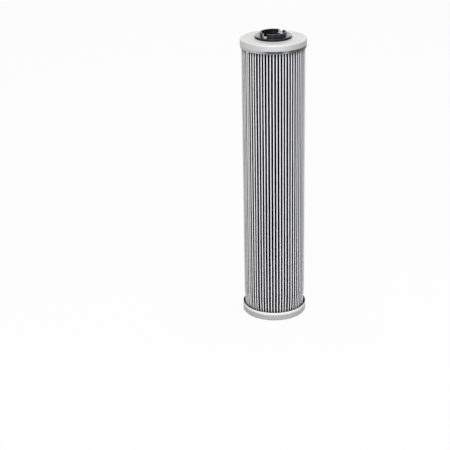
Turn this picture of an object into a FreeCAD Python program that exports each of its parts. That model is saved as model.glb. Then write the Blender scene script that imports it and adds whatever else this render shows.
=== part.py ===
import FreeCAD
import Part
import math
import os

# Pleated filter element, in millimetres, standing on its open end.
# +Z runs along the axis and the origin is the centre of the bottom face.
# A star-folded pack surrounds a perforated core. Each end sits in a pressed steel cap,
# on a bed of adhesive. The bottom cap has the seal seat, the top cap carries the collar.

# Overall
CAP_DIAMETER = 78.0
ELEMENT_LENGTH = 347.0
FRONT_TO_SLOT_DEG = 40.0
FRONT_TO_SEAM_DEG = 56.0

# Pressed caps
SHEET = 0.8
RIM_HEIGHT = 10.4
CRIMP_RISE = 3.0
CRIMP_DEPTH = 0.3
TOP_SHOULDER_RADIUS = 1.8
BOTTOM_SHOULDER_RADIUS = 1.0
SEAT_DIAMETER = 47.8
SEAT_DEPTH = 3.6
SEAT_EDGE_RADIUS = 0.8
BEND_STEPS = 2
SMALL_BEND_STEPS = 1

# Adhesive beds
BED_THICKNESS = 5.0

# Perforated core
CORE_WALL = 0.8
PERFORATION_SIZE = 2.8
PERFORATION_COLUMNS = 18
PERFORATION_PITCH = 63.0
PERFORATION_MARGIN = 19.0
FLATS_PER_COLUMN = 2

# Folded pack
PLEAT_COUNT = 64
PLEAT_GAP_TO_MOUTH = 0.3
PLEAT_GAP_TO_CORE = 0.1
WEB_THICKNESS = 0.8
CREST_WIDTH = 1.8
ROOT_GAP = 0.4
FOLD_ROUNDING = 0.4

# Clip that closes the folded web
CLIP_SHEET = 0.4
CLIP_DEPTH = 7.0
CLIP_CLEARANCE = 0.05
CLIP_ROUNDING = 0.3

# Moulded collar
FLANGE_DIAMETER = 43.2
FLANGE_THICKNESS = 2.8
RING_DIAMETER = 31.2
RING_WALL = 2.0
RING_HEIGHT = 3.9
SLOT_WIDTH = 6.0
COLLAR_BORE = 22.0
BOSS_DIAMETER = 35.6
BOSS_LENGTH = 6.0
BOSS_FIT = 0.05

# What follows from them
CAP_RADIUS = CAP_DIAMETER / 2
RIM_INSIDE = CAP_RADIUS - SHEET
MOUTH_RADIUS = RIM_INSIDE - CRIMP_DEPTH
SEAT_RADIUS = SEAT_DIAMETER / 2
LIP_RADIUS = SEAT_RADIUS + SHEET
CORE_OUTSIDE = LIP_RADIUS
CORE_INSIDE = CORE_OUTSIDE - CORE_WALL
CORE_FOOT = SEAT_DEPTH
CORE_HEAD = ELEMENT_LENGTH - SHEET
PACK_FOOT = SHEET + BED_THICKNESS
PACK_HEAD = ELEMENT_LENGTH - PACK_FOOT
CREST_RADIUS = MOUTH_RADIUS - PLEAT_GAP_TO_MOUTH
ROOT_RADIUS = CORE_OUTSIDE + PLEAT_GAP_TO_CORE
ROOT_TIP_RADIUS = ROOT_RADIUS + WEB_THICKNESS
WEB_END_RADIUS = CREST_RADIUS - CLIP_SHEET - CLIP_CLEARANCE
HALF_PITCH_DEG = 180 / PLEAT_COUNT
BOSS_RADIUS = BOSS_DIAMETER / 2
BOSS_HOLE_RADIUS = BOSS_RADIUS + BOSS_FIT
RING_RADIUS = RING_DIAMETER / 2
RING_INSIDE = RING_RADIUS - RING_WALL

FRONT_DEG = -90.0
SEAM_DEG = FRONT_DEG - FRONT_TO_SEAM_DEG
SLOT_DEG = FRONT_DEG - FRONT_TO_SLOT_DEG
UP = FreeCAD.Vector(0, 0, 1)
AXIS_FOOT = FreeCAD.Vector(0, 0, 0)


def polar_point(radius, across, angle_deg, height):
    """A point at a radius along the direction angle_deg, and across it."""
    turn = math.radians(angle_deg)
    x = radius * math.cos(turn) - across * math.sin(turn)
    y = radius * math.sin(turn) + across * math.cos(turn)
    return FreeCAD.Vector(x, y, height)


def revolve_corners(corners):
    """A full turn about Z of the section inside the corners, each a radius and a height."""
    points = [FreeCAD.Vector(radius, 0, height) for radius, height in corners]
    face = Part.Face(Part.makePolygon(points + points[:1]))
    return face.revolve(AXIS_FOOT, UP, 360)


def bend(centre, radius, start_deg, end_deg, steps):
    """The points of a round bend in section, from start_deg to end_deg about its centre."""
    points = []
    for step in range(steps + 1):
        turn = math.radians(start_deg + (end_deg - start_deg) * step / steps)
        points.append((centre[0] + radius * math.cos(turn), centre[1] + radius * math.sin(turn)))
    return points


def rim_corners(shoulder_radius, steps):
    """The cup's rim in section, from its inside corner over the crimped edge to its shoulder."""
    crease = RIM_HEIGHT - CRIMP_RISE
    shoulder_centre = (CAP_RADIUS - shoulder_radius, shoulder_radius)
    corners = [(RIM_INSIDE, SHEET), (RIM_INSIDE, crease)]
    corners += [(MOUTH_RADIUS, RIM_HEIGHT), (MOUTH_RADIUS + SHEET, RIM_HEIGHT)]
    corners.append((CAP_RADIUS, crease))
    return corners + bend(shoulder_centre, shoulder_radius, 0, -90, steps)


def turned_over(shape):
    """A shape made face down at the origin, turned to close the top of the element."""
    other = shape.copy()
    other.rotate(AXIS_FOOT, FreeCAD.Vector(1, 0, 0), 180)
    other.translate(UP * ELEMENT_LENGTH)
    return other


def make_bottom_end_cap():
    """A cup whose bore is drawn up into a lip: a seal's seat, with the core on its end."""
    edge_centre = (SEAT_RADIUS + SEAT_EDGE_RADIUS, SEAT_EDGE_RADIUS)
    corners = rim_corners(BOTTOM_SHOULDER_RADIUS, SMALL_BEND_STEPS)
    corners += bend(edge_centre, SEAT_EDGE_RADIUS, -90, -180, SMALL_BEND_STEPS)
    corners += [(SEAT_RADIUS, SEAT_DEPTH), (LIP_RADIUS, SEAT_DEPTH), (LIP_RADIUS, SHEET)]
    return revolve_corners(corners)


def make_top_end_cap():
    """The same cup turned over, with a plain hole for the collar's boss."""
    corners = rim_corners(TOP_SHOULDER_RADIUS, BEND_STEPS)
    corners += [(BOSS_HOLE_RADIUS, 0), (BOSS_HOLE_RADIUS, SHEET)]
    return turned_over(revolve_corners(corners))


def adhesive_bed(foot):
    """A ring of cured adhesive that fills a cup from the core out to its rim."""
    head = foot + BED_THICKNESS
    return revolve_corners([
        (CORE_OUTSIDE, foot),
        (RIM_INSIDE, foot),
        (RIM_INSIDE, head),
        (CORE_OUTSIDE, head),
    ])


def make_bottom_adhesive_bed():
    """The bed around the drawn lip and the foot of the core."""
    return adhesive_bed(SHEET)


def make_top_adhesive_bed():
    """The bed around the head of the core, under the top cap's sheet."""
    return adhesive_bed(PACK_HEAD)


def perforation(angle_deg, height):
    """One piercing tool, a square punch that runs out through the wall."""
    half = PERFORATION_SIZE / 2
    corner = FreeCAD.Vector(CORE_INSIDE - CORE_WALL, -half, height - half)
    tool = Part.makeBox(3 * CORE_WALL, PERFORATION_SIZE, PERFORATION_SIZE, corner)
    tool.rotate(AXIS_FOOT, UP, angle_deg)
    return tool


def flat_sided_tube(radius, foot, head):
    """A solid bar with one flat under each column and the same number between them."""
    flats = FLATS_PER_COLUMN * PERFORATION_COLUMNS
    corners = []
    for i in range(flats + 1):
        corners.append(polar_point(radius, 0, 360 * (i + 0.5) / flats, foot))
    return Part.Face(Part.makePolygon(corners)).extrude(UP * (head - foot))


def make_perforated_core():
    """The support tube, pierced in columns, every second column half a pitch higher."""
    tube = flat_sided_tube(CORE_OUTSIDE, CORE_FOOT, CORE_HEAD)
    tube = tube.cut(flat_sided_tube(CORE_INSIDE, CORE_FOOT, CORE_HEAD))
    tools = []
    for column in range(PERFORATION_COLUMNS):
        shift = PERFORATION_PITCH / 2 * (column % 2)
        height = CORE_FOOT + PERFORATION_MARGIN + shift
        while height < CORE_HEAD - PERFORATION_MARGIN:
            tools.append(perforation(360 * column / PERFORATION_COLUMNS, height))
            height += PERFORATION_PITCH
    return tube.cut(Part.makeCompound(tools))


def fold_points(tip_radius, half_width, rounding, angle_deg):
    """The tip of a fold, with its corners taken off where rounding is more than nothing."""
    if rounding == 0:
        sides = [(tip_radius, -half_width), (tip_radius, half_width)]
    else:
        back = tip_radius - rounding
        flat = half_width - rounding
        sides = [(back, -half_width), (tip_radius, -flat), (tip_radius, flat), (back, half_width)]
    return [polar_point(r, across, angle_deg, PACK_FOOT) for r, across in sides]


def web_face_points(depth, crest_rounding):
    """One face of the web, depth below its outer face, from the clip round to the clip."""
    crest_half = CREST_WIDTH / 2 - depth
    root_half = ROOT_GAP / 2 + depth
    points = [polar_point(WEB_END_RADIUS, crest_half, SEAM_DEG, PACK_FOOT)]
    for pleat in range(PLEAT_COUNT):
        crest_deg = SEAM_DEG + 2 * HALF_PITCH_DEG * pleat
        if pleat > 0:
            points += fold_points(CREST_RADIUS - depth, crest_half, crest_rounding, crest_deg)
        root_deg = crest_deg + HALF_PITCH_DEG
        points += fold_points(ROOT_TIP_RADIUS - depth, root_half, 0, root_deg)
    points.append(polar_point(WEB_END_RADIUS, -crest_half, SEAM_DEG, PACK_FOOT))
    return points


def legs_half_width(radius):
    """Half the width over a pleat's two legs, which widens from the crest to the root."""
    turn = math.radians(HALF_PITCH_DEG)
    root_width = ROOT_TIP_RADIUS * math.sin(turn) - ROOT_GAP / 2 * math.cos(turn)
    root_radius = ROOT_TIP_RADIUS * math.cos(turn) + ROOT_GAP / 2 * math.sin(turn)
    share = (WEB_END_RADIUS - radius) / (WEB_END_RADIUS - root_radius)
    return CREST_WIDTH / 2 + share * (root_width - CREST_WIDTH / 2)


def prism(points):
    """The closed outline drawn up from the pack's foot to its head."""
    outline = Part.Wire(Part.makePolygon(points + points[:1]))
    return Part.Face(outline).extrude(UP * (PACK_HEAD - PACK_FOOT))


def make_pleat_pack():
    """One web folded into a star, its two free ends side by side in the clip."""
    outer = web_face_points(0, FOLD_ROUNDING)
    inner = web_face_points(WEB_THICKNESS, 0)
    return prism(outer + inner[::-1])


def clip_face_points(tip_radius, half_width, rounding):
    """One face of the folded strip, from one open edge over the crest to the other."""
    open_radius = CREST_RADIUS - CLIP_DEPTH
    points = [polar_point(open_radius, -half_width, SEAM_DEG, PACK_FOOT)]
    points += fold_points(tip_radius, half_width, rounding, SEAM_DEG)
    points.append(polar_point(open_radius, half_width, SEAM_DEG, PACK_FOOT))
    return points


def make_seam_clip():
    """A strip folded over the two free ends of the web, just clear of the widest part."""
    inside_half = legs_half_width(CREST_RADIUS - CLIP_DEPTH) + CLIP_CLEARANCE
    outer = clip_face_points(CREST_RADIUS, inside_half + CLIP_SHEET, CLIP_ROUNDING)
    inner = clip_face_points(CREST_RADIUS - CLIP_SHEET, inside_half, 0)
    return prism(outer + inner[::-1])


def make_bayonet_collar():
    """One moulding: a boss through the cap, a flange on its face, and a slotted ring."""
    face = ELEMENT_LENGTH
    flange_top = face + FLANGE_THICKNESS
    ring_top = flange_top + RING_HEIGHT
    boss_foot = face - SHEET - BOSS_LENGTH
    flange_radius = FLANGE_DIAMETER / 2
    body = revolve_corners([
        (COLLAR_BORE / 2, boss_foot),
        (BOSS_RADIUS, boss_foot),
        (BOSS_RADIUS, face),
        (flange_radius, face),
        (flange_radius, flange_top),
        (RING_RADIUS, flange_top),
        (RING_RADIUS, ring_top),
        (RING_INSIDE, ring_top),
        (RING_INSIDE, flange_top),
        (COLLAR_BORE / 2, flange_top),
    ])
    corner = FreeCAD.Vector(-RING_DIAMETER, -SLOT_WIDTH / 2, flange_top)
    slot = Part.makeBox(2 * RING_DIAMETER, SLOT_WIDTH, 2 * RING_HEIGHT, corner)
    slot.rotate(AXIS_FOOT, UP, SLOT_DEG)
    return body.cut(slot)


PIECES = {
    "top_end_cap": make_top_end_cap,
    "bottom_end_cap": make_bottom_end_cap,
    "top_adhesive_bed": make_top_adhesive_bed,
    "bottom_adhesive_bed": make_bottom_adhesive_bed,
    "perforated_core": make_perforated_core,
    "pleat_pack": make_pleat_pack,
    "seam_clip": make_seam_clip,
    "bayonet_collar": make_bayonet_collar,
}

os.makedirs("parts", exist_ok=True)
for name, make in PIECES.items():
    piece = make()
    if not piece.isValid() or len(piece.Solids) != 1:
        raise RuntimeError(name + " isn't one valid solid")
    piece.Solids[0].exportStep("parts/" + name + ".step")
    print(name, round(piece.Volume / 1000, 2), "cm3")
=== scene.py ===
import bpy
import math
import random
import bmesh
from mathutils import Euler, Matrix, Vector


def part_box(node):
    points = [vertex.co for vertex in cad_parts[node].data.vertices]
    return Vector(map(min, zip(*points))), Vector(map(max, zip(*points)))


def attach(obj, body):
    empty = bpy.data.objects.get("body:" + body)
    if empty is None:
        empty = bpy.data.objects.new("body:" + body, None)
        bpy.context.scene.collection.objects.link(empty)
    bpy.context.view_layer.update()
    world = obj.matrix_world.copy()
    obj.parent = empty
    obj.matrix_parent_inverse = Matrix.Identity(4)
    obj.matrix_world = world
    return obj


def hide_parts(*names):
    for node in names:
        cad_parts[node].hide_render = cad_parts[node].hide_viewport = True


# The looks of a pleated filter element that stands on its open end.
# The scene is in metres, with +Z up the axis and -Y towards the viewer.
# Sizes are named in millimetres, but for the view and the studio, and MM turns them into metres.
MM = 0.001

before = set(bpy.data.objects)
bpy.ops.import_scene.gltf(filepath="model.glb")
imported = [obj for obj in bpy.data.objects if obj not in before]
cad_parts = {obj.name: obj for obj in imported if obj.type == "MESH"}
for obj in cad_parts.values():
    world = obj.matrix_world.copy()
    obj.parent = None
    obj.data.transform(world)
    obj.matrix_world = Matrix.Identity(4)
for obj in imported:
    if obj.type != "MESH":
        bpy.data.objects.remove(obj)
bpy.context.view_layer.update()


def node_size(name):
    """A node's outer radius, foot and head, in millimetres."""
    low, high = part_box(name)
    return high.x / MM, low.z / MM, high.z / MM


CAP_RADIUS, _, TOP_CAP_HEAD = node_size("top_end_cap")
CORE_RADIUS, CORE_FOOT, CORE_HEAD = node_size("perforated_core")
BED_RADIUS, BED_FOOT, PACK_FOOT = node_size("bottom_adhesive_bed")
PACK_HEAD = node_size("top_adhesive_bed")[1]
_, COLLAR_FOOT, COLLAR_HEAD = node_size("bayonet_collar")

# Pressed caps
SHEET = 0.8
RIM_HEIGHT = 10.4
TOP_MOUTH = TOP_CAP_HEAD - RIM_HEIGHT
CRIMP_RISE = 3.0
CRIMP_DEPTH = 0.3
CREASE_HALF = 0.4
CREASE_STEP = 0.1
INSIDE_BEND = 0.6
EDGE_RADIUS = 0.25
EDGE_STEPS = 3
TOP_SHOULDER_RADIUS = 1.8
BOTTOM_SHOULDER_RADIUS = 1.0
SHOULDER_STEPS = 8
SEAT_RADIUS = 23.9
SEAT_DEPTH = 3.6
SEAT_EDGE_RADIUS = 0.8
SEAT_EDGE_STEPS = 5
LIP_CHAMFER = 0.1
BOSS_HOLE_RADIUS = 17.85
FACE_STEPS = 6
TURNED_STEPS = 180

# The middle point of a small bend or fillet lies at this share of its legs
BEND_CUT = 0.3
FILLET_CUT = 0.25

# Edges that turn by more than this are shown sharp
SHARP_DEG = 35
FOLD_SHARP_DEG = 50

# Folded pack
PLEAT_COUNT = 64
HALF_PITCH_DEG = 180 / PLEAT_COUNT
SEAM_DEG = -146.0
CREST_RADIUS = 37.6
ROOT_CLEARANCE = 0.1
ROOT_RADIUS = CORE_RADIUS + ROOT_CLEARANCE
WEB = 0.8
WIRE_PITCH = 0.9
WIRE_UNDER = 0.6
CREST_HALF = 0.81
CREST_STEPS = 6
ROOT_HALF = 0.2
ROOT_STEPS = 3
FLANK_DROP = 5.0
FLANK_SPREAD = 1.1
FLANK_SHIFT = 0.7
EMBEDDED = 1.2
WEB_FOOT = PACK_FOOT - EMBEDDED
WEB_HEAD = PACK_HEAD + EMBEDDED
PACK_STEPS = 50
SWAY = 0.12
SWAY_LENGTHS = (420, 190, 95)
SWAY_SHARE = (0.1, 0.5)
CREST_SCATTER = 0.15
FIRST_PLEAT_SEED = 500
BOTTOM_PINCH = 1.4
MIDDLE_PINCH = 0.25
TOP_PINCH = 0.4
BOTTOM_PINCH_LENGTH = 26.0
TOP_PINCH_LENGTH = 14.0

# Strip over the web's two ends
CLIP_SHEET = 0.4
CLIP_DEPTH = 7.0
CLIP_CLEARANCE = 0.05
CLIP_BEND = 0.75
CLIP_BEND_STEPS = 4
CLIP_FLANK_DROP = 3.0
CLIP_EDGE_SHIFT = 0.3
CLIP_STEPS = 40

# Perforated core
CORE_WALL = 0.8
CORE_INSET = 0.05
CORE_OUTSIDE = CORE_RADIUS - CORE_INSET
CORE_INSIDE = CORE_RADIUS - CORE_WALL - CORE_INSET
HOLE_RADIUS = 1.5
HOLE_COLUMNS = 18
COLUMN_DEG = 360 / HOLE_COLUMNS
HOLE_PITCH = 9.0
HOLE_MARGIN = 10.0
HOLE_SIDES = 16

# Small enough to be nothing, for a division and a comparison
HAIR = 1e-6

# Adhesive beds
BED_STEPS = 8
BED_WAVES = 7
BED_WAVES_ROUND = (2, 23)
BED_WAVE_HEIGHT = (0.04, 0.12)
BED_LIFT = 0.6
CREEP_WIDTH = 0.7
CREEP_START = 0.5
CREEP_HEIGHT = 0.7
BOTTOM_BED_SEED = 11
TOP_BED_SEED = 12

# Moulded collar
FLANGE_RADIUS = 21.6
FLANGE_THICKNESS = 2.8
FLANGE_HEAD = TOP_CAP_HEAD + FLANGE_THICKNESS
FLANGE_EDGE = 0.5
FLANGE_CHAMFER = 0.3
RING_RADIUS = 15.6
RING_INSIDE = 13.6
MOULDED_EDGE = 0.4
MOULDED_STEPS = 4
SLOT_HALF = 3.0
SLOT_DEG = -130.0
COLLAR_BORE_RADIUS = 11.0
BOSS_RADIUS = 17.8
RING_STEPS = 84

# The collar's columns of points at a slot: some across it, at shares of its half width,
# and some near its edge, each with how far the ring's head is lowered there
FULL_DROP = COLLAR_HEAD - TOP_CAP_HEAD
SLOT_COLUMNS = (-0.66, -0.33, 0, 0.33, 0.66)
SLOT_EDGE = ((-0.05, FULL_DROP), (0.05, 0.35), (0.16, 0.1), (0.4, 0.0))

# A noise mostly keeps to this range
NOISE_LOW = 0.3
NOISE_HIGH = 0.7

# The zinc's colours and gloss, with the painted highlights, shade and reflection on its caps, and where the
# top crimp's dark band is thin
ZINC_WARM = (0.575, 0.575, 0.545)
ZINC_COOL = (0.515, 0.53, 0.555)
ZINC_GRAIN = (0.45, 0.45, 0.435)
ZINC_LIT_FACE = (0.68, 0.68, 0.655)
ZINC_SHOULDER_HIGHLIGHT = (0.76, 0.76, 0.735)
ZINC_SHADED_SIDE = (0.33, 0.335, 0.335)
ZINC_LOW_CAP_SHADE = (0.345, 0.355, 0.365)
LOW_CAP_SHADE_SHARE = 0.7
LOW_CRIMP_HIGHLIGHT = (0.78, 0.775, 0.73)
CAP_FOOT_SHADE = (0.20, 0.20, 0.21)
INSIDE_SHADE_BLACK = (0.012, 0.012, 0.014)
REFLECTION_BLUE = (0.045, 0.06, 0.09)
STAIN_PALE_BROWN = (0.12, 0.09, 0.07)
STAIN_DARK_BROWN = (0.02, 0.014, 0.01)
CRIMP_BAND_GAP = 15.0
ZINC_METALLIC = 0.2
ZINC_SPECULAR = 0.5

# The wire mesh's colours and gloss, how far below the crests they change, where the painted shade in the
# folds starts and is full, and the caps' painted shade
WIRE_SHADE = (0.91, 0.908, 0.912)
WIRE_BRIGHT = (0.985, 0.983, 0.98)
WIRE_STREAK = (0.60, 0.60, 0.65)
WIRE_SPECK = (0.36, 0.37, 0.42)
OPEN_CELLS = (0.60, 0.595, 0.62)
FOLD_SHADE_BLACK = (0.003, 0.003, 0.004)
PALE_DEPTH = 0.25
FOLD_SHADE_DEPTH = 0.7
WORN_DEPTH = 0.55
RIM_SHADE_LENGTH = 5.0
FOOT_SHADE_LENGTH = 2.5
WIRE_SPECULAR = 0.25

# The other colours, the painted highlight in the collar's slots, and the gloss of the collar's flange
ADHESIVE_DARK = (0.018, 0.017, 0.016)
ADHESIVE_PALE = (0.05, 0.046, 0.04)
CORE_DARK = (0.02, 0.021, 0.024)
CORE_PALE = (0.045, 0.047, 0.05)
STRIP_DARK = (0.52, 0.52, 0.50)
STRIP_PALE = (0.66, 0.66, 0.65)
MOULDING_DARK = (0.003, 0.003, 0.005)
MOULDING_PALE = (0.007, 0.007, 0.011)
SLOT_HIGHLIGHT = (0.40, 0.39, 0.44)
FLANGE_SHEEN = 0.25

# The photograph's view, with the viewer's place in metres
VIEWER = (0.0, -1.3798, 0.6876)
LENS = 97.1
SENSOR_WIDTH = 36
VIEW_PITCH_DEG = 22.62
VIEW_TURN_DEG = 2.504
VIEW_ROLL_DEG = -1.194

# The studio, in metres and watts
AMBIENT = 0.34
AMBIENT_COLOR = (0.97, 0.98, 1.0, 1)
FLOOR_HALF = 40.0
FLOOR_DROP = -0.0003
FLOOR_PAINT = (0.82, 0.82, 0.82, 1)
FLOOR_WHITE = 0.93

# Each soft light's name, place, size, power and colour
SOFTBOXES = (
    ("key", (-0.4, -2.6, 1.5), (1.8, 1.8), 54, (1.0, 0.995, 0.98)),
    ("fill", (2.0, -1.8, 1.2), (1.6, 1.6), 18, (0.9, 0.9, 1.0)),
    ("top", (0.0, 0.0, 2.6), (1.6, 1.6), 24, (1.0, 1.0, 1.0)),
    ("back", (0.0, 2.4, 0.95), (2.4, 0.3), 4, (1.0, 1.0, 1.0)),
)


def polar(radius, across, angle_deg, height):
    """A point at a radius along the direction angle_deg, and across it, in metres."""
    turn = math.radians(angle_deg)
    x = radius * math.cos(turn) - across * math.sin(turn)
    y = radius * math.sin(turn) + across * math.cos(turn)
    return (x * MM, y * MM, height * MM)


def arc(centre, radius, start_deg, end_deg, steps):
    """Points round a bend in a plane, from start_deg to end_deg about its centre."""
    points = []
    for i in range(steps + 1):
        turn = math.radians(start_deg + (end_deg - start_deg) * i / steps)
        points.append((centre[0] + radius * math.cos(turn), centre[1] + radius * math.sin(turn)))
    return points


def add_piece(name, points, faces, material, node, sharp_deg=SHARP_DEG, face_uvs=None):
    """A closed mesh that rides on the one body and stands for its node."""
    mesh = bpy.data.meshes.new(name)
    mesh.from_pydata(points, [], faces)
    if face_uvs:
        layer = mesh.uv_layers.new(name="Weave")
        layer.data.foreach_set("uv", [value for uv in face_uvs for value in uv])
    shape = bmesh.new()
    shape.from_mesh(mesh)
    bmesh.ops.recalc_face_normals(shape, faces=shape.faces)
    shape.to_mesh(mesh)
    shape.free()
    mesh.polygons.foreach_set("use_smooth", [True] * len(mesh.polygons))
    mesh.set_sharp_from_angle(angle=math.radians(sharp_deg))
    mesh.materials.append(material)
    piece = bpy.data.objects.new(name, mesh)
    bpy.context.scene.collection.objects.link(piece)
    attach(piece, "root")
    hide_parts(node)


def grid_faces(columns, rows):
    """Faces of a grid that closes on itself both ways, with rows points in each column."""
    faces = []
    for i in range(columns):
        for j in range(rows):
            next_i, next_j = (i + 1) % columns, (j + 1) % rows
            faces.append((i * rows + j, next_i * rows + j, next_i * rows + next_j, i * rows + next_j))
    return faces


class Finish:
    """A material under construction, with short calls for the nodes that it uses.

    Its plain colour, metallic and roughness stand where no node feeds them.
    """

    def __init__(self, name, color, metallic, roughness):
        self.material = bpy.data.materials.new(name)
        self.material.use_nodes = True
        self.tree = self.material.node_tree
        self.shader = self.tree.nodes["Principled BSDF"]
        self.drive("Base Color", (*color, 1))
        self.drive("Metallic", metallic)
        self.drive("Roughness", roughness)

    def add(self, kind, **settings):
        made = self.tree.nodes.new(kind)
        for key, value in settings.items():
            setattr(made, key, value)
        return made

    def feed(self, source, socket):
        """Links a node's output to a socket, or sets the socket to a number or a colour."""
        if isinstance(source, bpy.types.NodeSocket):
            self.tree.links.new(source, socket)
        else:
            socket.default_value = source

    def drive(self, name, source):
        """Feeds one of the shader's own sockets."""
        self.feed(source, self.shader.inputs[name])

    def place(self, stretch=(1, 1, 1)):
        """The place on the object in millimetres, with each axis scaled."""
        where = self.add("ShaderNodeTexCoord").outputs["Object"]
        mapping = self.add("ShaderNodeMapping")
        mapping.inputs["Scale"].default_value = [s / MM for s in stretch]
        self.feed(where, mapping.inputs["Vector"])
        return mapping.outputs["Vector"]

    def split(self, vector):
        """A vector's three parts."""
        parts = self.add("ShaderNodeSeparateXYZ")
        self.feed(vector, parts.inputs[0])
        return parts.outputs[0], parts.outputs[1], parts.outputs[2]

    def spot(self):
        """The place to the right, to the back and up, in millimetres, and how far the axis is."""
        x, y, height = self.split(self.place())
        squares = self.math("ADD", self.product(x, x), self.product(y, y))
        return x, y, height, self.math("SQRT", squares)

    def noise(self, scale, detail=2, stretch=(1, 1, 1)):
        """Soft spots of uneven size, with about scale of them to a millimetre."""
        made = self.add("ShaderNodeTexNoise")
        made.inputs["Scale"].default_value = scale
        made.inputs["Detail"].default_value = detail
        self.feed(self.place(stretch), made.inputs["Vector"])
        return made.outputs["Fac"]

    def marks(self, along, scale, detail):
        """Fine marks that follow each other along a length."""
        made = self.add("ShaderNodeTexNoise", noise_dimensions="1D")
        made.inputs["Scale"].default_value = scale
        made.inputs["Detail"].default_value = detail
        self.feed(along, made.inputs["W"])
        return made.outputs["Fac"]

    def math(self, operation, a, b=0.0):
        made = self.add("ShaderNodeMath", operation=operation)
        self.feed(a, made.inputs[0])
        self.feed(b, made.inputs[1])
        return made.outputs[0]

    def product(self, first, *others):
        """All the factors multiplied together."""
        for other in others:
            first = self.math("MULTIPLY", first, other)
        return first

    def distance(self, value, middle=0.0):
        """How far a value lies from a middle one, on either side."""
        return self.math("ABSOLUTE", self.math("SUBTRACT", value, middle))

    def span(self, value, low, high, to_low, to_high, curve="LINEAR"):
        """Turns the range from low to high into another, and holds its ends."""
        made = self.add("ShaderNodeMapRange", interpolation_type=curve)
        ends = {"From Min": low, "From Max": high, "To Min": to_low, "To Max": to_high}
        for name, number in ends.items():
            made.inputs[name].default_value = number
        self.feed(value, made.inputs["Value"])
        return made.outputs["Result"]

    def rise(self, value, low, high, curve="LINEAR"):
        """Nothing up to low, and one from high on."""
        return self.span(value, low, high, 0, 1, curve)

    def fall(self, value, low, high, curve="LINEAR"):
        """One up to low, and nothing from high on."""
        return self.span(value, low, high, 1, 0, curve)

    def vary(self, noise, to_low, to_high):
        """Spreads the range that a noise mostly keeps to over another one."""
        return self.span(noise, NOISE_LOW, NOISE_HIGH, to_low, to_high)

    def mix(self, share, first, second):
        """A colour between two others, where a share of one gives the second."""
        made = self.add("ShaderNodeMix", data_type="RGBA")
        self.feed(share, made.inputs["Factor"])
        for socket, color in ((made.inputs[6], first), (made.inputs[7], second)):
            self.feed(color if isinstance(color, bpy.types.NodeSocket) else (*color, 1), socket)
        return made.outputs[2]

    def bump(self, height, depth, strength):
        """Shades the surface as if it rose by height, with depth in millimetres."""
        made = self.add("ShaderNodeBump")
        made.inputs["Strength"].default_value = strength
        made.inputs["Distance"].default_value = depth * MM
        self.feed(height, made.inputs["Height"])
        self.drive("Normal", made.outputs[0])


def crimp_stain_and_reflection(finish, x, height):
    """How much of the top cap's crimp is darkened, more to one side, and its tone: a blue-black painted
    reflection and shade, going over to a brown stain on the right.
    """
    crease = TOP_MOUTH + CRIMP_RISE
    ragged = finish.math("ADD", height, finish.vary(finish.noise(0.35, detail=3), -0.4, 0.4))
    band = finish.fall(ragged, crease - 0.2, crease + 0.5)
    low_edge = finish.span(height, TOP_MOUTH + 0.1, TOP_MOUTH + 0.7, 0.3, 1)
    edge = finish.math("MAXIMUM", low_edge, finish.rise(x, 10, 18))
    left_side = finish.span(x, -18, -5, 0.22, 1)
    thinner_gap = finish.span(finish.distance(x, CRIMP_BAND_GAP), 1, 6, 0.6, 1)
    only_top = finish.rise(height, TOP_MOUTH - 2, TOP_MOUTH - 1)
    share = finish.product(band, edge, left_side, thinner_gap, only_top)
    blots = finish.rise(finish.noise(0.7), 0.42, 0.56)
    brown = finish.mix(blots, STAIN_PALE_BROWN, STAIN_DARK_BROWN)
    # Blue-black painted reflection and shade, going over to a brown stain on the right
    return share, finish.mix(finish.rise(x, 16, 24), REFLECTION_BLUE, brown)


def top_cap_tones(finish, color, x, height, radius):
    """The top cap's painted light: a lighter face, a painted highlight on the shoulder, painted shade on
    the rim's right side, and the crimp's painted reflection and shade with a brown stain.
    """
    # Painted light: the top face is made lighter than the rest
    face = finish.span(height, TOP_CAP_HEAD - 0.7, TOP_CAP_HEAD - 0.1, 0, 0.5)
    color = finish.mix(face, color, ZINC_LIT_FACE)
    # Painted highlight along the rounded shoulder
    bend = finish.rise(radius, CAP_RADIUS - 3.5, CAP_RADIUS - 1.5)
    shoulder = finish.span(height, TOP_CAP_HEAD - 1.6, TOP_CAP_HEAD - 1.0, 0, 0.35)
    color = finish.mix(finish.product(bend, shoulder), color, ZINC_SHOULDER_HIGHLIGHT)
    # Painted shade: the rim's wall is darker towards its right side
    rim = finish.product(finish.fall(height, TOP_CAP_HEAD - 1.8, TOP_CAP_HEAD - 0.9),
                         finish.rise(height, TOP_MOUTH - 1, TOP_MOUTH))
    dull = finish.product(rim, finish.span(x, 8, 28, 0, 0.55))
    color = finish.mix(dull, color, ZINC_SHADED_SIDE)
    # Painted reflection and shade on the crimp, with a brown stain to the right
    share, dark_band = crimp_stain_and_reflection(finish, x, height)
    return finish.mix(share, color, dark_band)


def low_cap_tones(finish, color, height, radius):
    """The bottom cap's painted shade on its plate, painted highlight on its crimp and painted shade at its
    foot, and where its inside is painted black as shade.
    """
    low_cap = finish.fall(height, RIM_HEIGHT, RIM_HEIGHT + 1)
    # Painted shade: the bottom cap's plate is darker
    color = finish.mix(finish.product(low_cap, LOW_CAP_SHADE_SHARE), color, ZINC_LOW_CAP_SHADE)
    # Painted highlight: the up-facing crimp is made cream
    crease = RIM_HEIGHT - CRIMP_RISE
    crimp = finish.product(finish.rise(height, crease - 0.3, crease + 0.3), low_cap)
    color = finish.mix(crimp, color, LOW_CRIMP_HIGHLIGHT)
    # Painted shade: a dark line along the cap's foot, near the floor
    foot = finish.product(finish.span(height, 0.2, 1.8, 0.75, 0),
                          finish.rise(radius, CAP_RADIUS - 1.2, CAP_RADIUS - 0.6))
    color = finish.mix(foot, color, CAP_FOOT_SHADE)
    # Painted shade: the inside of the rim is made black
    inside = finish.product(finish.fall(radius, CAP_RADIUS - 0.42, CAP_RADIUS - 0.34),
                            finish.rise(height, 2, 3), low_cap)
    return finish.mix(inside, color, INSIDE_SHADE_BLACK), inside


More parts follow.
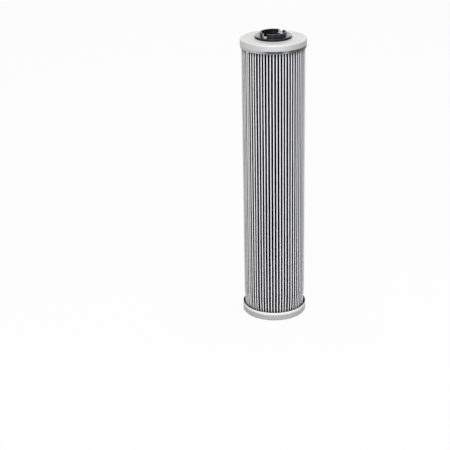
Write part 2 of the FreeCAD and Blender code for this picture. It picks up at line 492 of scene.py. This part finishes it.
def zinc_finish():
    """Satin zinc on pressed sheet: cloudy and grained, with turned marks, a brown stain, and painted
    highlights, shade and reflection on its caps.
    """
    finish = Finish("zinc_plate", (0.6, 0.6, 0.59), metallic=ZINC_METALLIC, roughness=0.5)
    x, _, height, radius = finish.spot()
    clouds = finish.noise(0.06, detail=3)
    grains = finish.noise(1.0, detail=3)
    turned = finish.marks(finish.math("ADD", radius, height), scale=1.1, detail=3)
    color = finish.mix(finish.rise(clouds, 0.35, 0.65), ZINC_WARM, ZINC_COOL)
    color = finish.mix(finish.span(grains, 0.4, 0.62, 0, 0.6), color, ZINC_GRAIN)
    color = top_cap_tones(finish, color, x, height, radius)
    color, inside = low_cap_tones(finish, color, height, radius)
    # The painted-shade inside has no metallic gloss or specular
    outside = finish.math("SUBTRACT", 1.0, inside)
    finish.drive("Base Color", color)
    finish.drive("Metallic", finish.product(outside, ZINC_METALLIC))
    finish.drive("Specular IOR Level", finish.product(outside, ZINC_SPECULAR))
    finish.drive("Roughness", finish.math("ADD", finish.vary(grains, 0.46, 0.58),
                                          finish.vary(clouds, -0.05, 0.05)))
    relief = finish.math("ADD", finish.product(grains, 0.7), finish.product(turned, 0.5))
    finish.bump(relief, depth=0.03, strength=0.8)
    return finish.material


def weave_relief(finish):
    """The height of two sets of round wires that pass over and under each other."""
    along, up, _ = finish.split(finish.add("ShaderNodeUVMap", uv_map="Weave").outputs[0])
    turn = math.pi / WIRE_PITCH
    waves = [finish.math("COSINE", finish.product(length, turn)) for length in (along, up)]
    wires = [finish.product(wave, wave) for wave in waves]
    over = finish.rise(finish.product(*waves), -0.4, 0.4)
    lifted = finish.product(wires[0], finish.span(over, 0, 1, WIRE_UNDER, 1))
    passed = finish.product(wires[1], finish.span(over, 0, 1, 1, WIRE_UNDER))
    return finish.math("MAXIMUM", lifted, passed)


def crest_level(finish, height, radius):
    """The radius as it would be if the pack's two ends were drawn in no more than its middle."""
    low_end = finish.fall(height, PACK_FOOT, PACK_FOOT + BOTTOM_PINCH_LENGTH, "SMOOTHSTEP")
    high_end = finish.rise(height, PACK_HEAD - TOP_PINCH_LENGTH, PACK_HEAD, "SMOOTHSTEP")
    drawn_in = finish.math("ADD", finish.product(low_end, BOTTOM_PINCH - MIDDLE_PINCH),
                           finish.product(high_end, TOP_PINCH - MIDDLE_PINCH))
    return finish.math("ADD", radius, drawn_in)


def end_shade(finish, x, height):
    """What the caps' rims leave of the light on the pack's two ends."""
    under_rim = finish.rise(height, TOP_MOUTH - RIM_SHADE_LENGTH, TOP_MOUTH)
    taken = finish.product(under_rim, finish.span(finish.distance(x), 8, 24, 0.5, 0.7))
    foot = finish.span(height, RIM_HEIGHT, RIM_HEIGHT + FOOT_SHADE_LENGTH, 0.7, 1)
    return finish.product(finish.math("SUBTRACT", 1.0, taken), foot)


def mesh_finish():
    """Plain-woven fine wire, laid over a pale web, with painted shade inside the folds and under the caps'
    rims.
    """
    finish = Finish("wire_mesh", (0.75, 0.75, 0.74), metallic=0.04, roughness=0.42)
    x, _, height, radius = finish.spot()
    relief = weave_relief(finish)
    level = crest_level(finish, height, radius)
    crest = CREST_RADIUS - MIDDLE_PINCH
    # Painted shade: the colour goes to black below the crests, inside the folds
    depth = finish.rise(level, crest - FOLD_SHADE_DEPTH, crest - PALE_DEPTH)
    worn = finish.fall(level, crest - WORN_DEPTH, crest - PALE_DEPTH)
    blotches = finish.noise(0.35, detail=3, stretch=(1, 1, 0.35))
    streaks = finish.noise(0.05, stretch=(6, 6, 0.25))
    specks = finish.noise(0.9, stretch=(0.45, 0.45, 1))
    wire = finish.mix(finish.vary(blotches, 0, 1), WIRE_SHADE, WIRE_BRIGHT)
    wire = finish.mix(finish.span(streaks, 0.35, 0.7, 0, 0.25), wire, WIRE_STREAK)
    wire = finish.mix(finish.product(worn, finish.span(specks, 0.42, 0.58, 0.1, 0.9)), wire, WIRE_SPECK)
    woven = finish.mix(finish.rise(relief, 0.2, 0.6), OPEN_CELLS, wire)
    lit = finish.product(depth, end_shade(finish, x, height))
    # The folds and the pack's ends get painted shade in the base colour
    finish.drive("Base Color", finish.mix(lit, FOLD_SHADE_BLACK, woven))
    finish.drive("Specular IOR Level", finish.product(depth, WIRE_SPECULAR))
    finish.drive("Roughness", finish.vary(blotches, 0.34, 0.5))
    finish.bump(relief, depth=0.12, strength=0.3)
    return finish.material


def adhesive_finish():
    """Cured dark adhesive, glossy where it ran and dull where it foamed."""
    finish = Finish("cured_adhesive", (0.03, 0.028, 0.026), metallic=0.0, roughness=0.4)
    lumps = finish.noise(0.25, detail=3)
    bubbles = finish.noise(2.2)
    finish.drive("Base Color", finish.mix(lumps, ADHESIVE_DARK, ADHESIVE_PALE))
    finish.drive("Roughness", finish.vary(lumps, 0.22, 0.55))
    finish.bump(finish.math("ADD", lumps, finish.product(bubbles, 0.3)), depth=0.25, strength=0.8)
    return finish.material


def core_finish():
    """Dark coated perforated sheet with a fine grain."""
    finish = Finish("coated_core", (0.03, 0.032, 0.035), metallic=0.3, roughness=0.4)
    clouds = finish.noise(0.12, detail=3)
    grains = finish.noise(2.0)
    finish.drive("Base Color", finish.mix(clouds, CORE_DARK, CORE_PALE))
    finish.drive("Roughness", finish.vary(grains, 0.3, 0.5))
    finish.bump(grains, depth=0.03, strength=0.6)
    return finish.material


def clip_finish():
    """Bright rolled strip with fine marks along its length."""
    finish = Finish("rolled_strip", (0.68, 0.68, 0.66), metallic=0.9, roughness=0.36)
    marks = finish.noise(2.4, detail=3, stretch=(1, 1, 0.02))
    clouds = finish.noise(0.08, detail=3)
    finish.drive("Base Color", finish.mix(clouds, STRIP_DARK, STRIP_PALE))
    finish.drive("Roughness", finish.vary(marks, 0.28, 0.46))
    finish.bump(marks, depth=0.03, strength=0.7)
    return finish.material


def slot_highlight_share(finish, x, y, height, radius):
    """Where the collar's surface is one of the faces that its two slots cut in the ring, which carry a
    painted highlight.
    """
    turn = math.radians(SLOT_DEG)
    across = finish.math("SUBTRACT", finish.product(y, math.cos(turn)), finish.product(x, math.sin(turn)))
    return finish.product(
        finish.fall(finish.distance(across), SLOT_HALF + 0.05, SLOT_HALF + 0.2),
        finish.rise(height, FLANGE_HEAD - 0.2, FLANGE_HEAD - 0.05),
        finish.rise(radius, RING_INSIDE - 2.6, RING_INSIDE - 2.2),
        finish.fall(radius, RING_RADIUS, RING_RADIUS + 0.4))


def moulding_finish():
    """Black moulded plastic with a fine grain and a cool sheen, and a painted highlight on the faces in its
    slots.
    """
    finish = Finish("black_moulding", (0.012, 0.012, 0.017), metallic=0.0, roughness=0.3)
    x, y, height, radius = finish.spot()
    grain = finish.noise(3.0)
    clouds = finish.noise(0.15)
    color = finish.mix(clouds, MOULDING_DARK, MOULDING_PALE)
    # Painted highlight: the slots' faces are made pale grey
    color = finish.mix(slot_highlight_share(finish, x, y, height, radius), color, SLOT_HIGHLIGHT)
    flange = finish.product(finish.span(radius, RING_RADIUS + 0.2, RING_RADIUS + 0.6, 0, FLANGE_SHEEN),
                            finish.rise(height, FLANGE_HEAD - 0.5, FLANGE_HEAD - 0.1))
    ring_wall = (RING_INSIDE - 0.1, RING_INSIDE + 0.3)
    shine = finish.math("ADD", flange, finish.span(radius, *ring_wall, 0.1, 0.2))
    rough = finish.product(finish.span(radius, *ring_wall, 0.5, 1), finish.vary(grain, 0.22, 0.36))
    rough = finish.math("SUBTRACT", rough, finish.product(flange, 0.25))
    finish.drive("Base Color", color)
    finish.drive("Specular IOR Level", shine)
    finish.drive("Roughness", rough)
    finish.bump(grain, depth=0.02, strength=0.6)
    return finish.material


def add_turned(name, profile, material, uneven=None):
    """A ring with the closed section profile, of radius and height, turned about the axis."""
    points = []
    for i in range(TURNED_STEPS):
        angle = 360 * i / TURNED_STEPS
        section = [uneven(*point, angle) for point in profile] if uneven else profile
        points += [polar(radius, 0, angle, height) for radius, height in section]
    faces = grid_faces(TURNED_STEPS, len(profile))
    add_piece(name + "_finished", points, faces, material, name)


def rim_profile(shoulder_radius):
    """The cup's rim as a section, from its inside corner over the crimp to the shoulder."""
    inside = CAP_RADIUS - SHEET
    mouth = inside - CRIMP_DEPTH
    crease = RIM_HEIGHT - CRIMP_RISE
    low, high = crease - CREASE_HALF, crease + CREASE_HALF
    cut = BEND_CUT * INSIDE_BEND
    edge_height = RIM_HEIGHT - EDGE_RADIUS
    points = [(inside - INSIDE_BEND, SHEET), (inside - cut, SHEET + cut), (inside, SHEET + INSIDE_BEND)]
    points += [(inside, low), (inside - CREASE_STEP, high)]
    points += arc((mouth + EDGE_RADIUS, edge_height), EDGE_RADIUS, 180, 90, EDGE_STEPS)
    points += arc((mouth + SHEET - EDGE_RADIUS, edge_height), EDGE_RADIUS, 90, 0, EDGE_STEPS)
    points += [(CAP_RADIUS - CREASE_STEP, high), (CAP_RADIUS, low)]
    centre = (CAP_RADIUS - shoulder_radius, shoulder_radius)
    points += arc(centre, shoulder_radius, 0, -90, SHOULDER_STEPS)
    return points


def rest_of_face(profile, to_radius):
    """Points along the flat face, inwards from the last one."""
    start = profile[-1][0]
    return [(start + (to_radius - start) * i / FACE_STEPS, 0) for i in range(1, FACE_STEPS)]


def add_bottom_cap(material):
    """The cup that is open in the middle, where its sheet turns up into the seal seat."""
    bend = SEAT_RADIUS + SEAT_EDGE_RADIUS
    profile = rim_profile(BOTTOM_SHOULDER_RADIUS)
    profile += rest_of_face(profile, bend)
    profile += arc((bend, SEAT_EDGE_RADIUS), SEAT_EDGE_RADIUS, -90, -180, SEAT_EDGE_STEPS)
    profile += [(SEAT_RADIUS, SEAT_DEPTH - LIP_CHAMFER), (SEAT_RADIUS + LIP_CHAMFER, SEAT_DEPTH)]
    profile += [(SEAT_RADIUS + SHEET, SEAT_DEPTH), (SEAT_RADIUS + SHEET, SHEET)]
    add_turned("bottom_end_cap", profile, material)


def add_top_cap(material):
    """The cup on the pack's head, with a plain hole for the collar's boss."""
    profile = rim_profile(TOP_SHOULDER_RADIUS)
    profile += rest_of_face(profile, BOSS_HOLE_RADIUS)
    profile += [(BOSS_HOLE_RADIUS, 0), (BOSS_HOLE_RADIUS, SHEET)]
    upper = [(radius, TOP_CAP_HEAD - height) for radius, height in profile]
    add_turned("top_end_cap", upper, material)


def bed_unevenness(seed, face, up):
    """Moves points of a bed's open face up and down by the way the adhesive ran."""
    draw = random.Random(seed)
    waves = []
    for _ in range(BED_WAVES):
        waves.append((draw.randint(*BED_WAVES_ROUND), draw.uniform(0, 360), draw.uniform(*BED_WAVE_HEIGHT)))

    def uneven(radius, height, angle_deg):
        if height != face:
            return radius, height
        lift = sum(size * math.sin(math.radians(count * angle_deg + phase)) for count, phase, size in waves)
        wall = max(0.0, radius - (BED_RADIUS - CREEP_WIDTH)) / CREEP_WIDTH
        return radius, height + up * (BED_LIFT * lift * (1 - wall) + CREEP_HEIGHT * wall * wall)

    return uneven


def add_bed(name, face, back, material, seed):
    """A ring of adhesive from its open face to its back, that creeps a little up the rim."""
    up = 1 if face > back else -1
    width = BED_RADIUS - CORE_RADIUS
    radii = [CORE_RADIUS + width * i / BED_STEPS for i in range(BED_STEPS + 1)]
    radii.insert(BED_STEPS, BED_RADIUS - CREEP_START)
    profile = [(radius, face) for radius in radii]
    profile += [(BED_RADIUS, back), (CORE_RADIUS, back)]
    add_turned(name, profile, material, bed_unevenness(seed, face, up))


def smooth_step(value):
    """An eased rise from nothing to one, as value goes from nothing to one."""
    value = min(1.0, max(0.0, value))
    return value * value * (3 - 2 * value)


def pinch(height):
    """How far the crests are drawn in, most of all near the two ends."""
    bottom = 1 - smooth_step((height - PACK_FOOT) / BOTTOM_PINCH_LENGTH)
    top = 1 - smooth_step((PACK_HEAD - height) / TOP_PINCH_LENGTH)
    return BOTTOM_PINCH * bottom + TOP_PINCH * top + MIDDLE_PINCH * (1 - bottom) * (1 - top)


class Pleat:
    """How one fold of the web departs from its even place."""

    def __init__(self, number):
        draw = random.Random(FIRST_PLEAT_SEED + number)
        self.lean = draw.gauss(0, SWAY)
        self.waves = []
        for length in SWAY_LENGTHS:
            self.waves.append((length, draw.uniform(0, math.tau), draw.uniform(*SWAY_SHARE) * SWAY))
        self.short = draw.uniform(0, CREST_SCATTER)

    def shift(self, height):
        """How far the fold lies aside at a height."""
        sways = [size * math.sin(math.tau * height / length + phase) for length, phase, size in self.waves]
        return self.lean + sum(sways)

    def crest(self, height):
        """The radius of the fold's crest at a height."""
        return CREST_RADIUS - self.short - pinch(height)


def web_section(height, pleats, depth):
    """One face of the web at a height, depth below its outer face, round from the seam."""
    crest_half = CREST_HALF - depth
    root_half = ROOT_HALF + depth
    flank_half = crest_half * FLANK_SPREAD
    root_centre = ROOT_RADIUS + WEB + ROOT_HALF
    end_radius = pleats[0].crest(height) - CLIP_SHEET - CLIP_CLEARANCE
    seam_shift = pleats[0].shift(height)
    points = [(end_radius, seam_shift + crest_half, SEAM_DEG)]
    for number, pleat in enumerate(pleats):
        crest_deg = SEAM_DEG + 2 * HALF_PITCH_DEG * number
        if number > 0:
            centre = pleat.crest(height) - CREST_HALF
            shift = pleat.shift(height)
            flank_shift = FLANK_SHIFT * shift
            fold = [(centre - FLANK_DROP, flank_shift - flank_half)]
            fold += arc((centre, shift), crest_half, -90, 90, CREST_STEPS)
            fold += [(centre - FLANK_DROP, flank_shift + flank_half)]
            points += [(radius, across, crest_deg) for radius, across in fold]
        root_deg = crest_deg + HALF_PITCH_DEG
        root = arc((root_centre, 0), root_half, 270, 90, ROOT_STEPS)
        points += [(radius, across, root_deg) for radius, across in root]
    points.append((end_radius, seam_shift - crest_half, SEAM_DEG))
    return points


def section_lengths(section):
    """How far along the web each point of a section lies, in millimetres."""
    places = [polar(radius, across, angle, 0) for radius, across, angle in section]
    lengths = [0.0]
    for a, b in zip(places, places[1:]):
        lengths.append(lengths[-1] + math.dist(a, b) / MM)
    return lengths


def add_folded(name, node, material, section_at, steps):
    """A folded sheet: its outer and inner faces, its two edges and its two ends."""
    heights = [WEB_FOOT + (WEB_HEAD - WEB_FOOT) * i / steps for i in range(steps + 1)]
    points = []
    for height in heights:
        outer, inner = section_at(height, 0), section_at(height, 1)
        points += [polar(*point, height) for point in outer + inner[::-1]]
    width = len(outer)
    ring = 2 * width
    along = section_lengths(outer)
    along += along[::-1]
    faces, uvs = [], []
    for level in range(steps):
        base = level * ring
        low, high = heights[level], heights[level + 1]
        for i in range(ring):
            j = (i + 1) % ring
            faces.append((base + i, base + j, base + ring + j, base + ring + i))
            uvs += [(along[i], low), (along[j], low), (along[j], high), (along[i], high)]
    for base in (0, steps * ring):
        for i in range(width - 1):
            faces.append((base + i, base + i + 1, base + ring - 2 - i, base + ring - 1 - i))
            uvs += [(along[i], 0), (along[i + 1], 0), (along[i + 1], WEB), (along[i], WEB)]
    add_piece(name, points, faces, material, node, FOLD_SHARP_DEG, uvs)


def add_pleats(material, pleats):
    """The web, folded round the core from one side of the seam to the other."""

    def section_at(height, side):
        return web_section(height, pleats, WEB * side)

    add_folded("folded_web", "pleat_pack", material, section_at, PACK_STEPS)


def legs_half_width():
    """Half the width over the seam pleat's legs, where the clip's edges grip them."""
    turn = math.radians(HALF_PITCH_DEG)
    tip_radius = ROOT_RADIUS + WEB
    root_width = tip_radius * math.sin(turn) - ROOT_HALF * math.cos(turn)
    root_radius = tip_radius * math.cos(turn) + ROOT_HALF * math.sin(turn)
    web_end = CREST_RADIUS - CLIP_SHEET - CLIP_CLEARANCE
    share = (web_end - (CREST_RADIUS - CLIP_DEPTH)) / (web_end - root_radius)
    return CREST_HALF + share * (root_width - CREST_HALF)


def add_clip(material, pleat):
    """The strip folded over the web's two ends, its legs sprung against them."""
    half = legs_half_width() + CLIP_CLEARANCE

    def section_at(height, side):
        width = half + CLIP_SHEET * (1 - side)
        tip = pleat.crest(height) - CLIP_SHEET * side
        bend = CLIP_BEND - CLIP_SHEET * side
        shift = pleat.shift(height)
        edge = (CREST_RADIUS - CLIP_DEPTH, CLIP_EDGE_SHIFT * shift)
        flank = (tip - CLIP_FLANK_DROP, FLANK_SHIFT * shift)
        places = [(radius, across - width) for radius, across in (edge, flank)]
        places += arc((tip - bend, shift - width + bend), bend, 270, 360, CLIP_BEND_STEPS)
        places += arc((tip - bend, shift + width - bend), bend, 0, 90, CLIP_BEND_STEPS)
        places += [(radius, across + width) for radius, across in (flank, edge)]
        return [(radius, across, SEAM_DEG) for radius, across in places]

    add_folded("seam_strip", "seam_clip", material, section_at, CLIP_STEPS)


def hole_cell():
    """One round hole in its patch of the core's wall: the hole's rim and the patch's border."""
    rim, border = [], []
    half_width = math.radians(COLUMN_DEG / 2) * CORE_RADIUS
    for i in range(HOLE_SIDES):
        turn = math.tau * i / HOLE_SIDES
        x, y = math.cos(turn), math.sin(turn)
        rim.append((HOLE_RADIUS * x, HOLE_RADIUS * y))
        reach = min(half_width / max(abs(x), HAIR), HOLE_PITCH / 2 / max(abs(y), HAIR))
        border.append((reach * x, reach * y))
    return rim, border


class CoreWall:
    """The core's wall under construction, where faces that meet share their points."""

    def __init__(self):
        self.points = []
        self.faces = []
        self.known = {}

    def vertex(self, angle_deg, height, radius):
        """The number of the point at a place, which is made only once."""
        key = (round(angle_deg % 360, 4) % 360, round(height, 4), radius)
        if key not in self.known:
            self.known[key] = len(self.points)
            self.points.append(polar(radius, 0, angle_deg, height))
        return self.known[key]

    def patch(self, places):
        """The outer and the inner face over the same four places."""
        outer = [self.vertex(angle_deg, height, CORE_OUTSIDE) for angle_deg, height in places]
        inner = [self.vertex(angle_deg, height, CORE_INSIDE) for angle_deg, height in places]
        self.faces += [outer, inner[::-1]]
        return outer, inner

    def pierced_cell(self, middle_deg, height):
        """The wall round one hole, and the hole's own wall."""
        rim, border = hole_cell()
        for i in range(HOLE_SIDES):
            j = (i + 1) % HOLE_SIDES
            places = []
            for across, up in (rim[i], rim[j], border[j], border[i]):
                places.append((middle_deg + math.degrees(across / CORE_RADIUS), height + up))
            outer, inner = self.patch(places)
            self.faces.append([outer[1], outer[0], inner[0], inner[1]])

    def plain_strip(self, middle_deg, low, high):
        """The unpierced wall above or below a column's holes, with the core's own end."""
        _, border = hole_cell()
        edge = [math.degrees(across / CORE_RADIUS) for across, up in border if up >= HOLE_PITCH / 2 - HAIR]
        edge += [-COLUMN_DEG / 2, COLUMN_DEG / 2]
        turns = sorted(set(round(turn, 6) + middle_deg for turn in edge))
        for start, end in zip(turns, turns[1:]):
            outer, inner = self.patch(((start, low), (end, low), (end, high), (start, high)))
            for height, i, j in ((low, 0, 1), (high, 3, 2)):
                if height in (CORE_FOOT, CORE_HEAD):
                    self.faces.append([outer[i], outer[j], inner[j], inner[i]])


def add_core(material):
    """The support tube with its round holes in columns, every second one half a pitch up."""
    wall = CoreWall()
    for column in range(HOLE_COLUMNS):
        middle_deg = column * COLUMN_DEG
        first = CORE_FOOT + HOLE_MARGIN + HOLE_PITCH / 2 * (column % 2)
        count = int((CORE_HEAD - HOLE_MARGIN - first) / HOLE_PITCH) + 1
        for row in range(count):
            wall.pierced_cell(middle_deg, first + row * HOLE_PITCH)
        wall.plain_strip(middle_deg, CORE_FOOT, first - HOLE_PITCH / 2)
        wall.plain_strip(middle_deg, first + (count - 0.5) * HOLE_PITCH, CORE_HEAD)
    add_piece("pierced_core", wall.points, wall.faces, material, "perforated_core")


def collar_profile():
    """The collar's section in three parts: the bore, the ring, and the flange with the boss."""
    edge = MOULDED_EDGE
    cut, fillet = BEND_CUT * edge, FILLET_CUT * edge
    bore = [(COLLAR_BORE_RADIUS, COLLAR_FOOT + edge), (COLLAR_BORE_RADIUS, FLANGE_HEAD - edge)]
    bore += [(COLLAR_BORE_RADIUS + cut, FLANGE_HEAD - cut), (COLLAR_BORE_RADIUS + edge, FLANGE_HEAD)]
    foot = [(edge, FLANGE_HEAD), (fillet, FLANGE_HEAD + fillet), (0, FLANGE_HEAD + edge)]
    ring = [(RING_INSIDE - out, height) for out, height in foot]
    ring += arc((RING_INSIDE + edge, COLLAR_HEAD - edge), edge, 180, 90, MOULDED_STEPS)
    ring += arc((RING_RADIUS - edge, COLLAR_HEAD - edge), edge, 90, 0, MOULDED_STEPS)
    ring += [(RING_RADIUS + out, height) for out, height in foot[::-1]]
    rim = (FLANGE_RADIUS - FLANGE_EDGE, FLANGE_HEAD - FLANGE_EDGE)
    rest = arc(rim, FLANGE_EDGE, 90, 0, MOULDED_STEPS)
    rest += [(FLANGE_RADIUS, TOP_CAP_HEAD + FLANGE_CHAMFER), (FLANGE_RADIUS - FLANGE_CHAMFER, TOP_CAP_HEAD)]
    rest += [(BOSS_RADIUS, TOP_CAP_HEAD), (BOSS_RADIUS, COLLAR_FOOT + edge)]
    rest += [(BOSS_RADIUS - edge, COLLAR_FOOT), (COLLAR_BORE_RADIUS + edge, COLLAR_FOOT)]
    return bore, ring, rest


def add_collar(material):
    """One moulding: boss, flange and a ring broken by two slots with parallel sides."""
    bore, ring, rest = collar_profile()

    def column(turn_at, lowered):
        low_ring = [(radius, max(FLANGE_HEAD, height - lowered)) for radius, height in ring]
        return [polar(radius, 0, turn_at(radius), height) for radius, height in bore + low_ring + rest]

    def beside(slot_deg, across):
        return lambda radius: slot_deg + math.degrees(math.asin(across / radius))

    def between(start, end, share):
        return lambda radius: start(radius) + (end(radius) - start(radius)) * share

    edges = [(SLOT_HALF + past, lowered) for past, lowered in SLOT_EDGE]
    clear = edges[-1][0]
    columns = []
    for slot_deg in (SLOT_DEG, SLOT_DEG + 180):
        columns += [column(beside(slot_deg, SLOT_HALF * share), FULL_DROP) for share in SLOT_COLUMNS]
        columns += [column(beside(slot_deg, across), lowered) for across, lowered in edges]
        start, end = beside(slot_deg, clear), beside(slot_deg + 180, -clear)
        columns += [column(between(start, end, i / RING_STEPS), 0.0) for i in range(1, RING_STEPS)]
        columns += [column(beside(slot_deg + 180, -across), lowered) for across, lowered in edges[::-1]]
    points = [point for one in columns for point in one]
    faces = grid_faces(len(columns), len(columns[0]))
    add_piece("slotted_collar", points, faces, material, "bayonet_collar")


def white_for_viewer(tree):
    """One for rays that come from the camera, a gloss or a clear material."""
    path = tree.nodes.new("ShaderNodeLightPath")
    total = path.outputs["Is Camera Ray"]
    for name in ("Is Glossy Ray", "Is Transmission Ray"):
        made = tree.nodes.new("ShaderNodeMath")
        made.operation = "MAXIMUM"
        tree.links.new(total, made.inputs[0])
        tree.links.new(path.outputs[name], made.inputs[1])
        total = made.outputs[0]
    return total


def blend(tree, share, first, second):
    """A mix of two shaders."""
    made = tree.nodes.new("ShaderNodeMixShader")
    for source, socket in zip((share, first, second), made.inputs):
        tree.links.new(source, socket)
    return made.outputs[0]


def make_world():
    """A faint even light, with plain white behind the element."""
    world = bpy.data.worlds.new("studio")
    bpy.context.scene.world = world
    world.use_nodes = True
    tree = world.node_tree
    ambient = tree.nodes["Background"]
    ambient.inputs["Color"].default_value = AMBIENT_COLOR
    ambient.inputs["Strength"].default_value = AMBIENT
    white = tree.nodes.new("ShaderNodeBackground")
    white.inputs["Color"].default_value = (1, 1, 1, 1)
    both = blend(tree, white_for_viewer(tree), ambient.outputs[0], white.outputs[0])
    tree.links.new(both, tree.nodes["World Output"].inputs[0])


def floor_finish():
    """Pale paint that the viewer sees nearly white, and that is clear from below."""
    material = bpy.data.materials.new("floor_paint")
    material.use_nodes = True
    tree = material.node_tree
    tree.nodes.remove(tree.nodes["Principled BSDF"])
    paint = tree.nodes.new("ShaderNodeBsdfDiffuse")
    paint.inputs["Color"].default_value = FLOOR_PAINT
    white = tree.nodes.new("ShaderNodeEmission")
    share = tree.nodes.new("ShaderNodeMath")
    share.operation = "MULTIPLY"
    share.inputs[1].default_value = FLOOR_WHITE
    tree.links.new(white_for_viewer(tree), share.inputs[0])
    front = blend(tree, share.outputs[0], paint.outputs[0], white.outputs[0])
    clear = tree.nodes.new("ShaderNodeBsdfTransparent")
    from_below = tree.nodes.new("ShaderNodeNewGeometry").outputs["Backfacing"]
    both = blend(tree, from_below, front, clear.outputs[0])
    tree.links.new(both, tree.nodes["Material Output"].inputs[0])
    return material


def make_floor():
    """A floor just below the element, that keeps its soft shadow."""
    mesh = bpy.data.meshes.new("floor")
    ways = ((-1, -1), (1, -1), (1, 1), (-1, 1))
    corners = [(x * FLOOR_HALF, y * FLOOR_HALF, FLOOR_DROP) for x, y in ways]
    mesh.from_pydata(corners, [], [(0, 1, 2, 3)])
    mesh.materials.append(floor_finish())
    floor = bpy.data.objects.new("floor", mesh)
    bpy.context.scene.collection.objects.link(floor)


def add_softbox(name, place, size, power, color):
    """A rectangular soft light aimed at the element's middle."""
    light = bpy.data.lights.new(name, "AREA")
    light.shape = "RECTANGLE"
    light.size, light.size_y = size
    light.energy = power
    light.color = color
    lamp = bpy.data.objects.new(name, light)
    lamp.location = place
    aim = Vector((0, 0, TOP_CAP_HEAD * MM / 2)) - Vector(place)
    lamp.rotation_euler = aim.to_track_quat("-Z", "Y").to_euler()
    bpy.context.scene.collection.objects.link(lamp)


def make_camera():
    """The photograph's view: the viewer's place, pitch, turn and slight roll."""
    data = bpy.data.cameras.new("viewer")
    data.lens = LENS
    data.sensor_width = SENSOR_WIDTH
    camera = bpy.data.objects.new("viewer", data)
    camera.location = VIEWER
    aim = Euler((math.radians(90 - VIEW_PITCH_DEG), 0, math.radians(VIEW_TURN_DEG))).to_matrix()
    roll = Matrix.Rotation(math.radians(VIEW_ROLL_DEG), 3, "Z")
    camera.rotation_euler = (aim @ roll).to_euler()
    bpy.context.scene.collection.objects.link(camera)
    bpy.context.scene.camera = camera


make_camera()
make_world()
make_floor()
for softbox in SOFTBOXES:
    add_softbox(*softbox)

zinc = zinc_finish()
adhesive = adhesive_finish()
add_top_cap(zinc)
add_bottom_cap(zinc)
add_bed("bottom_adhesive_bed", PACK_FOOT, BED_FOOT, adhesive, BOTTOM_BED_SEED)
add_bed("top_adhesive_bed", PACK_HEAD, CORE_HEAD, adhesive, TOP_BED_SEED)
pleats = [Pleat(number) for number in range(PLEAT_COUNT)]
add_pleats(mesh_finish(), pleats)
add_clip(clip_finish(), pleats[0])
add_core(core_finish())
add_collar(moulding_finish())

bpy.context.scene.view_settings.view_transform = "Standard"
